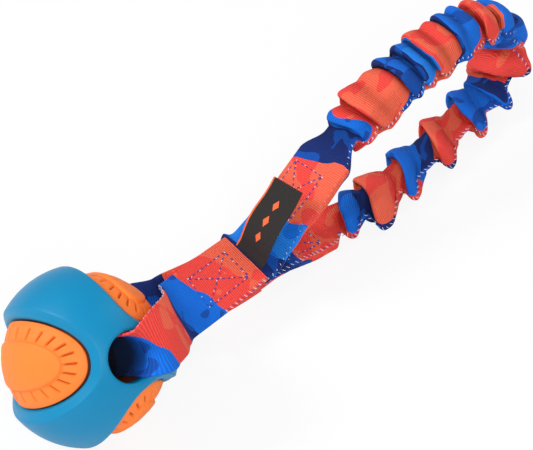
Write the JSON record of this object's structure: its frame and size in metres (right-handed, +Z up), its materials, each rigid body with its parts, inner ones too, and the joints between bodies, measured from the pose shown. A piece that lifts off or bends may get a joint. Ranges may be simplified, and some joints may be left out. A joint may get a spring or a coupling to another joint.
{
  "type": "bungee tug toy",
  "caption": "Dog tug toy: rubber ball in a windowed shell, turning on a webbing strap, with a ruched bungee handle loop and a woven side label.",
  "frame": {"origin": "on the floor under the middle of the toy's bounding box, as it lies in the picture", "axes": "+X runs from the ball towards the handle loop's end, +Z up, +Y to the far side of the strap"},
  "size_m": [0.296, 0.0817, 0.0673],
  "materials": {
    "shell_rubber": "satin moulded blue rubber",
    "core_rubber": "matt moulded orange rubber",
    "strap_webbing": "matt woven webbing, printed in red, blue and navy blotches",
    "sleeve_webbing": "matt woven tubular webbing, printed in red, blue and navy blotches",
    "elastic_weave": "matt woven elastic",
    "label_weave": "matt woven label"
  },
  "bodies": {
    "strap": {"ball_strap": "strap_webbing", "sleeve_near_end": "sleeve_webbing", "sleeve_far_end": "sleeve_webbing", "sleeve_near_leg": "sleeve_webbing", "sleeve_far_leg": "sleeve_webbing", "bungee_elastic": "elastic_weave"},
    "ball": {"ball_shell": "shell_rubber", "ball_core": "core_rubber"},
    "grip": {"sleeve_grip": "sleeve_webbing"},
    "label": {"woven_label": "label_weave"}
  },
  "joints": [
    {"name": "ball_spin", "type": "hinge", "parent": "strap", "child": "ball", "pos_m": [-0.1142, 0.0005, 0.0319], "axis": [-0.0607, -0.8067, 0.5878], "continuous": true},
    {"name": "bungee_stretch", "type": "slide", "parent": "strap", "child": "grip", "axis": [1, 0, 0], "range_m": [0, 0.09], "stiffness_N_per_m": 200, "deforming": ["sleeve_near_leg", "sleeve_far_leg", "bungee_elastic"]},
    {"name": "label_lift", "type": "hinge", "parent": "strap", "child": "label", "pos_m": [-0.0265, -0.00464, 0.02213], "axis": [0, -0.9455, -0.3256], "range_deg": [-9, 45], "stiffness_Nm_per_rad": 0.002}
  ]
}
